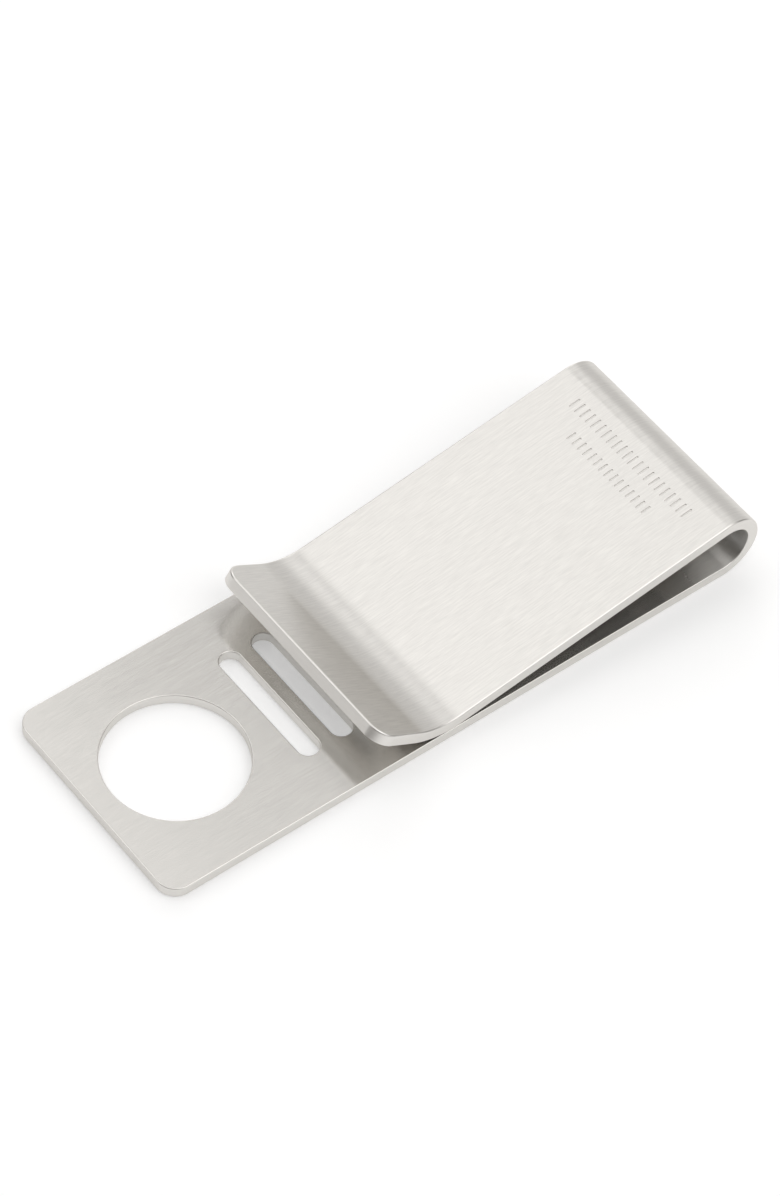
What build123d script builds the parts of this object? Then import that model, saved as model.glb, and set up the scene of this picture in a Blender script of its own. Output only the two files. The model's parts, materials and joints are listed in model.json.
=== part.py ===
from build123d import *
import os
from math import asin, atan2, cos, degrees, hypot, radians, sin

# Money clip: one strip of spring-temper stainless steel, folded over on itself.
# Millimetres. +X runs from the pierced end to the fold, +Y across the strip, +Z up from
# the resting face. The origin is at the middle of the outline, on the resting face.
#
# The strip is divided at its bend lines, so that each stretch with a job of its own is a
# piece: back leaf, spring bend, front leaf, pinch bend and lead-in lip.
#
# The strip's outer face is the underside of the back leaf, the outside of the bend and the
# top of the front leaf. Its edges are rounded more than those of the inner face.

# ---- driving dimensions ----------------------------------------------------------------
strip_width = 19.0
sheet = 1.0
clip_length = 54.2
corner_radius = 1.6
outer_break = 0.16
inner_break = 0.08

loop_outer_radius = 3.04

pinch_line_from_end = 25.2
pinch_gap = 0.06
pinch_radius = 6.0
lip_rise = 32.0
lip_length = 4.25

window_diameter = 11.0
window_from_end = 7.4
slot_count = 3
slot_length = 11.0
slot_width = 1.8
slot_pitch = 3.0
first_slot_from_end = 15.8

# ---- side profile: a point or direction with two values is an x and a z -----------------
end_x = -clip_length / 2
loop_x = clip_length / 2 - loop_outer_radius
loop_z = loop_outer_radius
loop_inner_radius = loop_outer_radius - sheet
pinch_x = end_x + pinch_line_from_end
pinch_z = sheet + pinch_gap + sheet + pinch_radius

# The front leaf is tangent to the top of the loop and to the underside of the pinch
# circle, so its slope follows from the two centres and the two radii.
centres_apart = hypot(loop_x - pinch_x, pinch_z - loop_z)
centres_tilt = degrees(atan2(pinch_z - loop_z, loop_x - pinch_x))
leaf_slope = degrees(asin((loop_outer_radius + pinch_radius) / centres_apart)) - centres_tilt
leaf_normal = Vector(-sin(radians(leaf_slope)), cos(radians(leaf_slope)))
lip_normal = Vector(sin(radians(lip_rise)), 0, cos(radians(lip_rise)))

loop_centre = Vector(loop_x, loop_z)
pinch_centre = Vector(pinch_x, pinch_z)
leaf_top_at_loop = loop_centre + leaf_normal * loop_outer_radius
leaf_top_at_pinch = pinch_centre - leaf_normal * pinch_radius

lip_root = Vector(pinch_x, 0, pinch_z) - lip_normal * (pinch_radius + sheet)
lip_plane = Plane(
    origin=lip_root,
    x_dir=(-cos(radians(lip_rise)), 0, sin(radians(lip_rise))),
    z_dir=lip_normal,
)


def side_edges(piece, sort):
    """The long edges of a piece's two sides, in groups from the lowest in sort to the highest."""
    sides = piece.faces().filter_by(Axis.Y)
    return sides.edges().filter_by(lambda edge: edge.length > 1.5 * sheet).group_by(sort)


# ---- back leaf: flat, with rounded free corners, a round window and three slots ---------
with BuildPart() as back_leaf:
    with BuildSketch() as outline:
        with Locations((end_x, 0)):
            Rectangle(loop_x - end_x, strip_width, align=(Align.MIN, Align.CENTER))
        fillet(outline.vertices().group_by(Axis.X)[0], corner_radius)
        with Locations((end_x + window_from_end, 0)):
            Circle(window_diameter / 2, mode=Mode.SUBTRACT)
        for index in range(slot_count):
            with Locations((end_x + first_slot_from_end + index * slot_pitch, 0)):
                SlotOverall(slot_length, slot_width, rotation=90, mode=Mode.SUBTRACT)
    extrude(amount=sheet)
    for place, radius in ((0, outer_break), (-1, inner_break)):
        rims = back_leaf.faces().filter_by(Axis.Z).sort_by(Axis.Z)[place].edges()
        fillet(rims.filter_by_position(Axis.X, end_x, loop_x, inclusive=(True, False)), radius)

# ---- spring bend: the U-bend that joins the two leaves and gives the clip its grip ------
with BuildPart() as spring_bend:
    with BuildSketch(Plane.XZ):
        with BuildLine():
            outside = CenterArc(loop_centre, loop_outer_radius, -90, 180 + leaf_slope)
            inside = CenterArc(loop_centre, loop_inner_radius, -90, 180 + leaf_slope)
            Line(outside @ 0, inside @ 0)
            Line(outside @ 1, inside @ 1)
        make_face()
    extrude(amount=strip_width / 2, both=True)
    fillet(side_edges(spring_bend, SortBy.RADIUS)[-1], outer_break)
    fillet(side_edges(spring_bend, SortBy.RADIUS)[0], inner_break)

# ---- front leaf: the flat stretch that comes down from the loop to the pinch line -------
with BuildPart() as front_leaf:
    with BuildSketch(Plane.XZ):
        with BuildLine():
            Polyline(
                leaf_top_at_loop,
                leaf_top_at_pinch,
                leaf_top_at_pinch - leaf_normal * sheet,
                leaf_top_at_loop - leaf_normal * sheet,
                close=True,
            )
        make_face()
    extrude(amount=strip_width / 2, both=True)
    fillet(side_edges(front_leaf, Axis.Z)[-1], outer_break)
    fillet(side_edges(front_leaf, Axis.Z)[0], inner_break)

# ---- pinch bend: the rounded heel that holds the notes against the back leaf ------------
with BuildPart() as pinch_bend:
    with BuildSketch(Plane.XZ):
        with BuildLine():
            upper = CenterArc(pinch_centre, pinch_radius, 270 - lip_rise, lip_rise + leaf_slope)
            under = CenterArc(pinch_centre, pinch_radius + sheet, 270 - lip_rise, lip_rise + leaf_slope)
            Line(upper @ 0, under @ 0)
            Line(upper @ 1, under @ 1)
        make_face()
    extrude(amount=strip_width / 2, both=True)
    fillet(side_edges(pinch_bend, SortBy.RADIUS)[0], outer_break)
    fillet(side_edges(pinch_bend, SortBy.RADIUS)[-1], inner_break)

# ---- lead-in lip: turned up and round-cornered, so that folded notes slide in under it --
with BuildPart() as lead_in_lip:
    with BuildSketch(lip_plane) as outline:
        Rectangle(lip_length, strip_width, align=(Align.MIN, Align.CENTER))
        fillet(outline.vertices().group_by(Axis.X)[-1], corner_radius)
    extrude(amount=sheet)
    for place, radius in ((-1, outer_break), (0, inner_break)):
        rims = lead_in_lip.faces().filter_by(lip_plane).sort_by(Axis.Z)[place].edges()
        fillet(rims.filter_by(lambda edge: edge.length < strip_width - outer_break), radius)

# ---- labels and files ------------------------------------------------------------------
back_leaf.part.label = "back_leaf"
spring_bend.part.label = "spring_bend"
front_leaf.part.label = "front_leaf"
pinch_bend.part.label = "pinch_bend"
lead_in_lip.part.label = "lead_in_lip"

os.makedirs("parts", exist_ok=True)
export_step(back_leaf.part, "parts/back_leaf.step")
export_step(spring_bend.part, "parts/spring_bend.step")
export_step(front_leaf.part, "parts/front_leaf.step")
export_step(pinch_bend.part, "parts/pinch_bend.step")
export_step(lead_in_lip.part, "parts/lead_in_lip.step")
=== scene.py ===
import json
from math import asin, cos, pi, radians, sin, tan

import bmesh
import bpy
from mathutils import Matrix, Vector, geometry


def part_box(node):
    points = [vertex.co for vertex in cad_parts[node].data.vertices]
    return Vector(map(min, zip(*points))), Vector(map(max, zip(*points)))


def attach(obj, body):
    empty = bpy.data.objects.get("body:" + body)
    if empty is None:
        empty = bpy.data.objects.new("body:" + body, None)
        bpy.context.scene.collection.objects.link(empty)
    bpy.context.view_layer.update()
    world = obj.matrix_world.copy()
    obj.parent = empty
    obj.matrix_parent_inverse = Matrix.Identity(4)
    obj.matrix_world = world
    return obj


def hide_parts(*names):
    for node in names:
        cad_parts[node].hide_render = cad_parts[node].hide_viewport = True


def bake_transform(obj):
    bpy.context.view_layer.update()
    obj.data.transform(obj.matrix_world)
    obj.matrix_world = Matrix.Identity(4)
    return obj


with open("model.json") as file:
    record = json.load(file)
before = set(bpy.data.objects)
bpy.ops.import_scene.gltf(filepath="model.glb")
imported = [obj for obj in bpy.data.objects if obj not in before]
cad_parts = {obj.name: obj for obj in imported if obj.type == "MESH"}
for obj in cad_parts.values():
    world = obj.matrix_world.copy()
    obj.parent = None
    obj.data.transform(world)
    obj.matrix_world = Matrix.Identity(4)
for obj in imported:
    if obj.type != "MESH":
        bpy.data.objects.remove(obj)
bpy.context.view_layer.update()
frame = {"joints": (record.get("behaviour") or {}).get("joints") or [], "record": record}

# A money clip folded from one strip of brushed stainless steel. Lengths are in metres, and
# in the materials, which read the strip coordinates, they are in millimetres.
# The meshes are made in the strip's own coordinates, as if it lay unfolded: s along the
# strip from the pierced end, y across it, and depth into the sheet from its outer face.
# The outer face is the back leaf's underside, the outside of the loop and the top of the
# front leaf. A stretch, straight or bent, then carries those coordinates into the frame.

MM = 0.001
ACROSS = Vector((0, 1, 0))

# ---- shapes that the frame's boxes and mounts don't give --------------------------------
OUTER_BREAK = 0.16 * MM
INNER_BREAK = 0.08 * MM
CORNER_RADIUS = 1.6 * MM
SLOT_COUNT = 3
SLOT_LENGTH = 11.0 * MM
SLOT_WIDTH = 1.8 * MM
SLOT_PITCH = 3.0 * MM
FIRST_SLOT = 15.8 * MM

# ---- fineness of the meshes --------------------------------------------------------------
EDGE_STEPS = 6
CORNER_STEPS = 16
WINDOW_STEPS = 128
SLOT_END_STEPS = 24
MARK_END_STEPS = 6
LOOP_STEPS = 72
PINCH_STEPS = 32

# ---- profile, worked out from the boxes of the CAD pieces --------------------------------
back_low, back_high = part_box("back_leaf")
loop_low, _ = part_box("spring_bend")
leaf_low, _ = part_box("front_leaf")
pinch_low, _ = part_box("pinch_bend")
_, lip_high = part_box("lead_in_lip")

WIDTH = back_high.y - back_low.y
SHEET = back_high.z - back_low.z
END_X = back_low.x
LOOP = Vector(frame["joints"][0]["pos_m"])
LOOP_RADIUS = LOOP.z
LEAF_SLOPE = asin((LOOP.x - loop_low.x) / LOOP_RADIUS)

leaf_foot_z = leaf_low.z + SHEET * cos(LEAF_SLOPE)
PINCH_RADIUS = (leaf_foot_z - pinch_low.z - SHEET) / (1 - cos(LEAF_SLOPE))
PINCH = Vector((leaf_low.x - PINCH_RADIUS * sin(LEAF_SLOPE), 0, pinch_low.z + SHEET + PINCH_RADIUS))
LIP_RISE = asin((PINCH.x - lip_high.x) / PINCH_RADIUS)
lip_tip_z = lip_high.z + OUTER_BREAK * (sin(LIP_RISE) + cos(LIP_RISE) - 1)
LIP_LENGTH = (lip_tip_z - PINCH.z + PINCH_RADIUS * cos(LIP_RISE)) / sin(LIP_RISE)


class Straight:
    """A flat stretch of strip. origin is the outer face at its start, heading is its slope."""

    def __init__(self, origin, heading, length):
        self.origin = origin
        self.along = Vector((cos(heading), 0, sin(heading)))
        self.length = length
        self.curved = False

    def frame_at(self, s):
        """The directions along the strip and into the sheet."""
        return self.along, self.along.cross(ACROSS)

    def place(self, s, y, depth):
        along, inward = self.frame_at(s)
        return self.origin + along * s + ACROSS * y + inward * depth


class Bent:
    """A bent stretch. radius is the outer face's, from angle start through the angle turn.
    With a positive turn the sheet's inner face is the nearer one to the centre."""

    def __init__(self, centre, radius, start, turn):
        self.centre = centre
        self.radius = radius
        self.start = start
        self.way = 1 if turn > 0 else -1
        self.middle = radius - self.way * SHEET / 2
        self.length = abs(turn) * self.middle
        self.curved = True

    def angle(self, s):
        return self.start + self.way * s / self.middle

    def frame_at(self, s):
        along = Vector((-sin(self.angle(s)), 0, cos(self.angle(s)))) * self.way
        return along, along.cross(ACROSS)

    def place(self, s, y, depth):
        out = Vector((cos(self.angle(s)), 0, sin(self.angle(s))))
        return self.centre + out * (self.radius - self.way * depth) + ACROSS * y


def leaf_top(centre, radius):
    """The point of the front leaf's top face that is tangent to a circle."""
    return centre + Vector((-sin(LEAF_SLOPE), 0, cos(LEAF_SLOPE))) * radius


leaf_start = leaf_top(LOOP, LOOP_RADIUS)
leaf_length = (leaf_start - leaf_top(PINCH, -PINCH_RADIUS)).length
lip_start = PINCH - Vector((sin(LIP_RISE), 0, cos(LIP_RISE))) * PINCH_RADIUS

back_stretch = Straight(Vector((END_X, 0, 0)), 0, LOOP.x - END_X)
loop_stretch = Bent(LOOP, LOOP_RADIUS, -pi / 2, pi + LEAF_SLOPE)
leaf_stretch = Straight(leaf_start, pi + LEAF_SLOPE, leaf_length)
pinch_stretch = Bent(PINCH, PINCH_RADIUS, 1.5 * pi + LEAF_SLOPE, -(LIP_RISE + LEAF_SLOPE))
lip_stretch = Straight(lip_start, pi - LIP_RISE, LIP_LENGTH)


# ---- meshes ------------------------------------------------------------------------------
def edge_section():
    """The rounded edge of the sheet, from its outer face to its inner one.
    Each entry is (inset, depth, outward share of the normal, inward share of the normal)."""
    turns = [pi / 2 * step / EDGE_STEPS for step in range(EDGE_STEPS + 1)]
    outer = [
        (OUTER_BREAK * (1 - sin(turn)), OUTER_BREAK * (1 - cos(turn)), sin(turn), -cos(turn))
        for turn in turns
    ]
    inner = [
        (INNER_BREAK * (1 - cos(turn)), SHEET - INNER_BREAK * (1 - sin(turn)), cos(turn), sin(turn))
        for turn in turns
    ]
    return outer + inner


def arc(centre, radius, start, turn, steps, side=1):
    """Points (s, y, outward s, outward y) of an arc. side is -1 where the sheet is outside it."""
    angles = [start + turn * step / steps for step in range(steps + 1)]
    middle_s, middle_y = centre
    return [
        (middle_s + radius * cos(a), middle_y + radius * sin(a), side * cos(a), side * sin(a))
        for a in angles
    ]


def sides(stretch, steps=1):
    """The two long edges of a stretch, one out and one back."""
    runs = [stretch.length * step / steps for step in range(steps + 1)]
    near = [(s, -WIDTH / 2, 0, -1) for s in runs]
    far = [(s, WIDTH / 2, 0, 1) for s in reversed(runs)]
    return [near, far]


def rounded_end(stretch, end_at_start):
    """One long edge, round the free end with its two corners, and back along the other."""
    if end_at_start:
        seam, corner, turn = stretch.length, CORNER_RADIUS, -pi / 2
    else:
        seam, corner, turn = 0, stretch.length - CORNER_RADIUS, pi / 2
    middle = WIDTH / 2 - CORNER_RADIUS
    near = arc((corner, -middle), CORNER_RADIUS, -pi / 2, turn, CORNER_STEPS)
    far = arc((corner, middle), CORNER_RADIUS, -pi / 2 + turn, turn, CORNER_STEPS)
    return [[(seam, -WIDTH / 2, 0, -1), *near, *far, (seam, WIDTH / 2, 0, 1)]]


def round_window(s, radius):
    """A round hole on the strip's centre line, centred at s."""
    return arc((s, 0), radius, 0, 2 * pi, WINDOW_STEPS, side=-1)[:-1]


def cross_slot(s):
    """A round-ended slot across the strip, centred at s."""
    reach = (SLOT_LENGTH - SLOT_WIDTH) / 2
    far = arc((s, reach), SLOT_WIDTH / 2, 0, pi, SLOT_END_STEPS, side=-1)
    near = arc((s, -reach), SLOT_WIDTH / 2, pi, pi, SLOT_END_STEPS, side=-1)
    return far + near


# The materials of every piece, in the order that they are given to its mesh.
BRUSHED, SATIN, EDGE, ETCH = range(4)


class Sheet:
    """A piece of the strip under construction, in strip coordinates. start is how far its
    first end is from the pierced end of the strip."""

    def __init__(self, stretch, start):
        self.stretch = stretch
        self.start = start
        self.points = []
        self.normals = []
        self.faces = []
        self.flat = []
        self.materials = []

    def point(self, s, y, depth, normal):
        self.points.append((s, y, depth))
        self.normals.append(normal)
        return len(self.points) - 1

    def face(self, corners, material, flat=False):
        self.faces.append(corners)
        self.flat.append(flat)
        self.materials.append(material)

    def wall(self, outline, closed):
        """The rounded edge along an outline. Returns its rows of points, outer face first."""
        rows = []
        for inset, depth, out, inward in edge_section():
            row = []
            for s, y, out_s, out_y in outline:
                normal = (out * out_s, out * out_y, inward)
                row.append(self.point(s - inset * out_s, y - inset * out_y, depth, normal))
            rows.append(row)
        count = len(outline)
        for upper, lower in zip(rows, rows[1:]):
            for here in range(count if closed else count - 1):
                following = (here + 1) % count
                self.face((upper[here], upper[following], lower[following], lower[here]), EDGE)
        return rows

    def pocket(self, outline, depth, shrink):
        """A shallow engraved pocket in the outer face. Returns its rim."""
        rim = [self.point(s, y, 0, (0, 0, -1)) for s, y, _, _ in outline]
        floor = [
            self.point(s + shrink * out_s, y + shrink * out_y, depth, (0, 0, -1))
            for s, y, out_s, out_y in outline
        ]
        for here in range(len(rim)):
            following = (here + 1) % len(rim)
            self.face((rim[here], rim[following], floor[following], floor[here]), ETCH, flat=True)
        self.face(tuple(floor), ETCH, flat=True)
        return rim

    def fill(self, loops, material):
        """Fills one face of a flat stretch: the first loop is its outline, the rest are holes."""
        corners = [corner for loop in loops for corner in loop]
        flat_loops = [
            [Vector(self.points[corner][:2]).to_3d() / MM for corner in loop]
            for loop in loops
        ]
        for triangle in geometry.tessellate_polygon(flat_loops):
            self.face(tuple(corners[index] for index in triangle), material)

    def close(self, chains, holes=(), pockets=()):
        """Adds the walls, both faces and the cut ends of a piece with these outlines."""
        walls = [self.wall(chain, closed=False) for chain in chains]
        rims = [self.wall(hole, closed=True) for hole in holes]
        engraved = [self.pocket(*pocket) for pocket in pockets]
        for row, material in ((0, BRUSHED), (-1, SATIN)):
            if self.stretch.curved:
                near, far = walls[0][row], walls[1][row]
                for here in range(len(near) - 1):
                    self.face((near[here], near[here + 1], far[-here - 2], far[-here - 1]), material)
            else:
                outline = [corner for wall in walls for corner in wall[row]]
                extra = engraved if row == 0 else []
                self.fill([outline] + [rim[row] for rim in rims] + extra, material)
        for wall, following in zip(walls, walls[1:] + walls[:1]):
            ends = [row[-1] for row in wall] + [row[0] for row in reversed(following)]
            self.face(tuple(ends), BRUSHED, flat=True)

    def finish(self, name, materials):
        """The Blender object, with its exact normals and its strip coordinates in millimetres."""
        mesh = bpy.data.meshes.new(name)
        mesh.from_pydata([self.stretch.place(*point) for point in self.points], [], self.faces)
        for material in materials:
            mesh.materials.append(material)
        mesh.polygons.foreach_set("material_index", self.materials)
        edit = bmesh.new()
        edit.from_mesh(mesh)
        bmesh.ops.recalc_face_normals(edit, faces=edit.faces)
        edit.to_mesh(mesh)
        edit.free()
        self.store_strip(mesh)
        self.set_normals(mesh)
        piece = bpy.data.objects.new(name, mesh)
        bpy.context.scene.collection.objects.link(piece)
        return piece

    def store_strip(self, mesh):
        """Keeps the strip coordinates on the mesh, for the materials."""
        strip = mesh.attributes.new("strip", "FLOAT_VECTOR", "POINT")
        for entry, (s, y, depth) in zip(strip.data, self.points):
            entry.vector = Vector((self.start + s, y, depth)) / MM

    def set_normals(self, mesh):
        """Gives each corner the normal of the true shape, or of its face where that is flat."""
        mesh.polygons.foreach_set("use_smooth", [True] * len(mesh.polygons))
        smooth = []
        for (s, _, _), (along_share, across_share, inward_share) in zip(self.points, self.normals):
            along, inward = self.stretch.frame_at(s)
            normal = along * along_share + ACROSS * across_share + inward * inward_share
            smooth.append(normal.normalized())
        corners = [None] * len(mesh.loops)
        for polygon in mesh.polygons:
            for loop in polygon.loop_indices:
                vertex = mesh.loops[loop].vertex_index
                corners[loop] = polygon.normal.copy() if self.flat[polygon.index] else smooth[vertex]
        mesh.normals_split_custom_set(corners)


# ---- materials ---------------------------------------------------------------------------
STEEL = (0.688, 0.674, 0.648)
EDGE_STEEL = (0.725, 0.708, 0.680)
ETCHED_STEEL = (0.70, 0.685, 0.66)
# At a grazing angle the steel reflects this share of what a plain Fresnel curve would give.
GRAZING = (0.90, 0.89, 0.87, 1.0)

# How fine each texture is: features per millimetre along the strip, across it and into it.
BRUSH_LINES = (0.60, 8.0, 8.0)
BRUSH_STREAKS = (0.10, 2.4, 2.4)
FACE_CLOUDS = (0.13, 0.26, 0.26)
EDGE_GRAIN = (3.0, 3.0, 7.0)
EDGE_CLOUDS = (0.4, 0.4, 1.2)
ETCH_FROST = (22.0, 22.0, 22.0)

# How far each texture moves the tone of the steel, as a share of it, and its roughness.
LINE_TONE = 0.075
STREAK_TONE = 0.012
FACE_CLOUD_TONE = 0.006
EDGE_GRAIN_TONE = 0.012
EDGE_CLOUD_TONE = 0.015
FROST_TONE = 0.10
LINE_ROUGHNESS = 0.02
STREAK_ROUGHNESS = 0.010

# How high each texture stands, in metres. The streaks stand this share of the lines' height.
BRUSH_HEIGHT = 0.0008 * MM
EDGE_GRAIN_HEIGHT = 0.0010 * MM
FROST_HEIGHT = 0.003 * MM
STREAK_HEIGHT_SHARE = 0.8

INNER_ROUGHNESS = 0.22
LOOP_ROUGHNESS = 0.46
# The inner face starts to get rougher this far before the loop, and is done this far inside
# it, in millimetres.
ROUGHENS_BEFORE = 4.0
ROUGHENS_WITHIN = 1.0


class Nodes:
    """A short way to write a material's node tree."""

    def __init__(self, name):
        self.material = bpy.data.materials.new(name)
        self.material.use_nodes = True
        self.tree = self.material.node_tree
        self.tree.nodes.clear()

    def add(self, kind, inputs=(), **settings):
        node = self.tree.nodes.new("ShaderNode" + kind)
        for name, value in settings.items():
            setattr(node, name, value)
        for name, value in dict(inputs).items():
            if isinstance(value, bpy.types.NodeSocket):
                self.tree.links.new(value, node.inputs[name])
            else:
                node.inputs[name].default_value = value
        return node

    def strip(self):
        """The strip coordinates, in millimetres."""
        return self.add("Attribute", attribute_name="strip").outputs["Vector"]

    def math(self, operation, first, second):
        return self.add("Math", {0: first, 1: second}, operation=operation).outputs[0]

    def total(self, *values):
        result = values[0]
        for value in values[1:]:
            result = self.math("ADD", result, value)
        return result

    def noise(self, vector, stretch, detail=3.0, roughness=0.55):
        """Noise in strip coordinates. stretch is how many features there are per millimetre."""
        scaled = self.add("VectorMath", {0: vector, 1: stretch}, operation="MULTIPLY").outputs[0]
        inputs = {"Vector": scaled, "Scale": 1.0, "Detail": detail, "Roughness": roughness}
        return self.add("TexNoise", inputs).outputs["Fac"]

    def spread(self, value, low, high, start=0.3, end=0.7, **settings):
        """Moves a value from start to end onto low to high. Noise is mostly from 0.3 to 0.7."""
        inputs = {"Value": value, "From Min": start, "From Max": end, "To Min": low, "To Max": high}
        return self.add("MapRange", inputs, **settings).outputs[0]

    def sway(self, noise, reach):
        """Noise moved about zero, as far as reach each way."""
        return self.spread(noise, -reach, reach)

    def tint(self, colour, change):
        """A colour made darker or lighter by a change that is about zero, at most a half."""
        node = self.add("Mix", {"Factor": self.math("ADD", change, 0.5)}, data_type="RGBA")
        # A Mix node's colour sockets, 6 and 7, share their names with its number sockets.
        node.inputs[6].default_value = (*[channel * 0.5 for channel in colour], 1.0)
        node.inputs[7].default_value = (*[channel * 1.5 for channel in colour], 1.0)
        return node.outputs[2]

    def bump(self, height, distance):
        return self.add("Bump", {"Height": height, "Distance": distance}).outputs["Normal"]

    def shade(self, **inputs):
        """Ends the material with a Principled shader. Names of inputs take _ for a space."""
        inputs = {name.replace("_", " "): value for name, value in inputs.items()}
        self.add("OutputMaterial", {"Surface": self.add("BsdfPrincipled", inputs).outputs[0]})
        return self.material


def steel_face(n, roughness, grain, depth):
    """A face brushed along the strip, with fine lines and broader streaks. grain is how much
    more it scatters across the strip than along it, and depth how strongly the brushing shows."""
    strip = n.strip()
    lines = n.noise(strip, BRUSH_LINES, detail=4.0, roughness=0.6)
    streaks = n.noise(strip, BRUSH_STREAKS)
    clouds = n.noise(strip, FACE_CLOUDS, detail=2.0)
    change = n.total(
        n.sway(lines, LINE_TONE * depth),
        n.sway(streaks, STREAK_TONE * depth),
        n.sway(clouds, FACE_CLOUD_TONE),
    )
    rough = n.total(
        roughness,
        n.sway(lines, LINE_ROUGHNESS * depth),
        n.sway(streaks, STREAK_ROUGHNESS),
    )
    height = n.total(lines, n.math("MULTIPLY", streaks, STREAK_HEIGHT_SHARE))
    across = n.add("CombineXYZ", {"X": 0.0, "Y": 1.0, "Z": 0.0}).outputs[0]
    return n.shade(
        Base_Color=n.tint(STEEL, change),
        Metallic=1.0,
        Specular_Tint=GRAZING,
        Roughness=rough,
        Anisotropic=grain,
        Tangent=across,
        Normal=n.bump(height, BRUSH_HEIGHT * depth),
    )


def brushed_steel():
    """The outer face of the strip, the one on show."""
    return steel_face(Nodes("brushed_stainless_face"), roughness=0.33, grain=0.75, depth=1.0)


def satin_steel():
    """The inner face of the strip: smoother, but rougher where it is bent round the loop."""
    n = Nodes("satin_stainless_inner_face")
    along = n.add("SeparateXYZ", {"Vector": n.strip()}).outputs["X"]
    loop_start = back_stretch.length / MM
    loop_end = loop_start + loop_stretch.length / MM
    into_loop = n.spread(along, 0, 1, loop_start - ROUGHENS_BEFORE, loop_start + ROUGHENS_WITHIN)
    out_of_loop = n.spread(along, 1, 0, loop_end - ROUGHENS_WITHIN, loop_end + ROUGHENS_BEFORE)
    bent = n.math("MULTIPLY", into_loop, out_of_loop)
    roughness = n.spread(bent, INNER_ROUGHNESS, LOOP_ROUGHNESS, start=0, end=1)
    return steel_face(n, roughness, grain=0.90, depth=0.4)


def rounded_edge():
    """The cut edges: rounded, not brushed, and a little brighter than the faces."""
    n = Nodes("rounded_stainless_edge")
    strip = n.strip()
    grain = n.noise(strip, EDGE_GRAIN, detail=4.0)
    clouds = n.noise(strip, EDGE_CLOUDS, detail=2.0)
    change = n.total(n.sway(grain, EDGE_GRAIN_TONE), n.sway(clouds, EDGE_CLOUD_TONE))
    return n.shade(
        Base_Color=n.tint(EDGE_STEEL, change),
        Metallic=1.0,
        Specular_Tint=GRAZING,
        Roughness=n.spread(grain, 0.28, 0.34),
        Normal=n.bump(grain, EDGE_GRAIN_HEIGHT),
    )


def etched_mark():
    """The floor and walls of an engraved mark: frosted and a little paler."""
    n = Nodes("etched_stainless_mark")
    frost = n.noise(n.strip(), ETCH_FROST)
    return n.shade(
        Base_Color=n.tint(ETCHED_STEEL, n.sway(frost, FROST_TONE)),
        Metallic=1.0,
        Specular_Tint=GRAZING,
        Roughness=n.spread(frost, 0.40, 0.50),
        Normal=n.bump(frost, FROST_HEIGHT),
    )


# ---- the clip ----------------------------------------------------------------------------
MARK_WIDTH = 0.17 * MM
MARK_DEPTH = 0.05 * MM
MARK_PITCH = 0.62 * MM
# How much narrower a tick is at its floor, on each side.
MARK_TAPER = MARK_WIDTH / 5
# Rows of plain ticks: distance from the loop, length of a tick, number of ticks.
MARK_ROWS = ((1.45 * MM, 1.05 * MM, 22), (3.55 * MM, 0.90 * MM, 15))


def tick_marks():
    """Two plain rows of engraved ticks across the front leaf, close to the loop."""
    marks = []
    for s, length, count in MARK_ROWS:
        reach = (length - MARK_WIDTH) / 2
        for index in range(count):
            y = (index - (count - 1) / 2) * MARK_PITCH
            ahead = arc((s + reach, y), MARK_WIDTH / 2, -pi / 2, pi, MARK_END_STEPS, side=-1)
            behind = arc((s - reach, y), MARK_WIDTH / 2, pi / 2, pi, MARK_END_STEPS, side=-1)
            marks.append((ahead + behind, MARK_DEPTH, MARK_TAPER))
    return marks


def back_leaf_openings():
    """The round window, where its mount is, and the slots."""
    window = [mount for mount in frame["record"]["mounts"] if mount["name"] == "window"][0]
    window_s = window["pos_m"][0] - END_X
    slots = [cross_slot(FIRST_SLOT + index * SLOT_PITCH) for index in range(SLOT_COUNT)]
    return [round_window(window_s, window["dims"]["r_mm"] * MM), *slots]


def make_clip():
    """The five pieces, by node. Each starts where the one before it ends along the strip."""
    materials = [brushed_steel(), satin_steel(), rounded_edge(), etched_mark()]
    plans = {
        "back_leaf": (back_stretch, rounded_end(back_stretch, True), back_leaf_openings(), ()),
        "spring_bend": (loop_stretch, sides(loop_stretch, LOOP_STEPS), (), ()),
        "front_leaf": (leaf_stretch, sides(leaf_stretch), (), tick_marks()),
        "pinch_bend": (pinch_stretch, sides(pinch_stretch, PINCH_STEPS), (), ()),
        "lead_in_lip": (lip_stretch, rounded_end(lip_stretch, False), (), ()),
    }
    pieces = {}
    start = 0
    for node, (stretch, chains, holes, marks) in plans.items():
        sheet = Sheet(stretch, start)
        sheet.close(chains, holes, marks)
        piece = sheet.finish(node + "_strip", materials)
        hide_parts(node)
        pieces[node] = piece
        start += stretch.length
    return pieces


pieces = make_clip()
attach(pieces["back_leaf"], "clip_back")
for node in ("front_leaf", "pinch_bend", "lead_in_lip"):
    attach(pieces[node], "clip_front")
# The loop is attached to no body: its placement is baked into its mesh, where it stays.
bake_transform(pieces["spring_bend"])


# ---- floor, light and camera -------------------------------------------------------------
# The camera's heading, from +X towards +Y, how steeply it looks down, and its roll. It stands
# VIEW_DISTANCE away from the point that it aims at.
VIEW_HEADING = radians(46.99)
VIEW_FALL = radians(51.65)
VIEW_ROLL = radians(6.35)
VIEW_DISTANCE = 0.3294
VIEW_AIM = Vector((0.00237, 0.00316, 0))
LENS = 134.0

FLOOR_SIZE = 6.0
FLOOR_GAP = 0.02 * MM
FLOOR_TONE = 0.80
FLOOR_GRAIN = 9.0
FLOOR_GRAIN_TONE = 0.005
GLOW_COLOUR = (0.98, 0.99, 1.0, 1.0)
# The floor's glow grows towards the back, between these two distances from the middle.
GLOW_START = -0.04
GLOW_END = 0.08
GLOW_FRONT = 0.29
GLOW_BACK = 0.31

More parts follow.
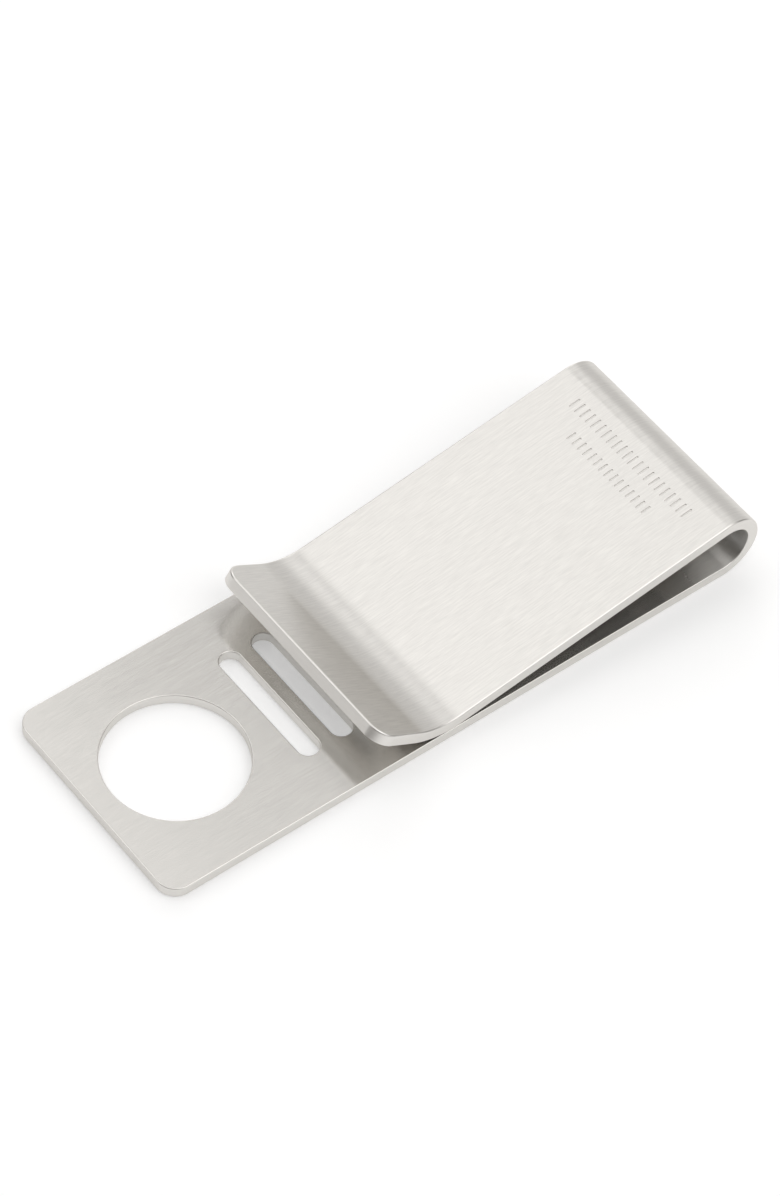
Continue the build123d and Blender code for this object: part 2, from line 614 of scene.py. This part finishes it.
LAMP_DISTANCE = 0.9
ROOM_COLOUR = (1.0, 0.96, 0.92)
ROOM_LIGHT = 0.25
# Each softbox's name, heading, height and spread in degrees, and its radiance.
SOFTBOXES = (
    ("overhead_softbox", 0, 90, 36, 0.60),
    ("overhead_right_softbox", 330, 75, 35, 0.30),
    ("back_softbox", 30, 22, 29, 0.575),
    ("back_left_softbox", 60, 26, 16, 1.25),
    ("left_softbox", 90, 48, 21, 0.67),
    ("left_high_softbox", 140, 44, 15, 1.00),
    ("left_low_softbox", 150, 12, 14, 0.55),
    ("right_high_softbox", 288, 50, 27, 0.95),
    ("right_low_softbox", 300, 25, 20, 0.42),
)


def make_floor():
    """A pale floor that glows a little, slightly more towards the back."""
    n = Nodes("studio_floor")
    place = n.add("TexCoord").outputs["Object"]
    grain = n.add("TexNoise", {"Vector": place, "Scale": FLOOR_GRAIN, "Detail": 2.0}).outputs["Fac"]
    back = n.add(
        "VectorMath",
        {0: place, 1: (cos(VIEW_HEADING), sin(VIEW_HEADING), 0)},
        operation="DOT_PRODUCT",
    ).outputs["Value"]
    glow = n.spread(
        back, GLOW_FRONT, GLOW_BACK, GLOW_START, GLOW_END, interpolation_type="SMOOTHSTEP"
    )
    material = n.shade(
        Base_Color=n.tint((FLOOR_TONE,) * 3, n.sway(grain, FLOOR_GRAIN_TONE)),
        Roughness=0.9,
        Specular_IOR_Level=0.1,
        Emission_Color=GLOW_COLOUR,
        Emission_Strength=glow,
    )
    bpy.ops.mesh.primitive_plane_add(size=FLOOR_SIZE, location=(0, 0, -FLOOR_GAP))
    floor = bpy.context.object
    floor.name = "studio_floor"
    floor.data.materials.append(material)


def softbox(name, heading, height, spread, radiance):
    """A round softbox that faces the clip. heading and height are its direction, from +X
    towards +Y and up from the floor. spread is its radius as the clip sees it, an angle."""
    heading, height = radians(heading), radians(height)
    out = Vector((cos(height) * cos(heading), cos(height) * sin(heading), sin(height)))
    light = bpy.data.lights.new(name, "AREA")
    light.shape = "DISK"
    light.size = 2 * LAMP_DISTANCE * tan(radians(spread))
    area = pi * (light.size / 2) ** 2
    light.energy = radiance * pi * area
    lamp = bpy.data.objects.new(name, light)
    lamp.location = out * LAMP_DISTANCE
    lamp.rotation_euler = (-out).to_track_quat("-Z", "Y").to_euler()
    bpy.context.scene.collection.objects.link(lamp)


def make_light():
    """A dim, warm room and the softboxes."""
    world = bpy.data.worlds.new("studio")
    bpy.context.scene.world = world
    world.use_nodes = True
    background = world.node_tree.nodes["Background"]
    background.inputs["Color"].default_value = (*ROOM_COLOUR, 1.0)
    background.inputs["Strength"].default_value = ROOM_LIGHT
    for lamp in SOFTBOXES:
        softbox(*lamp)


def make_camera():
    """A long lens that looks down on the clip from its pierced end and near side."""
    forward = Vector((
        cos(VIEW_FALL) * cos(VIEW_HEADING),
        cos(VIEW_FALL) * sin(VIEW_HEADING),
        -sin(VIEW_FALL),
    ))
    data = bpy.data.cameras.new("camera")
    data.sensor_fit = "AUTO"
    data.sensor_width = 36.0
    data.lens = LENS
    data.clip_start = 0.01
    camera = bpy.data.objects.new("camera", data)
    aim = forward.to_track_quat("-Z", "Y").to_matrix().to_4x4()
    place = Matrix.Translation(VIEW_AIM - forward * VIEW_DISTANCE)
    camera.matrix_world = place @ aim @ Matrix.Rotation(VIEW_ROLL, 4, "Z")
    bpy.context.scene.collection.objects.link(camera)
    bpy.context.scene.camera = camera


make_floor()
make_light()
make_camera()
bpy.context.scene.view_settings.view_transform = "Standard"
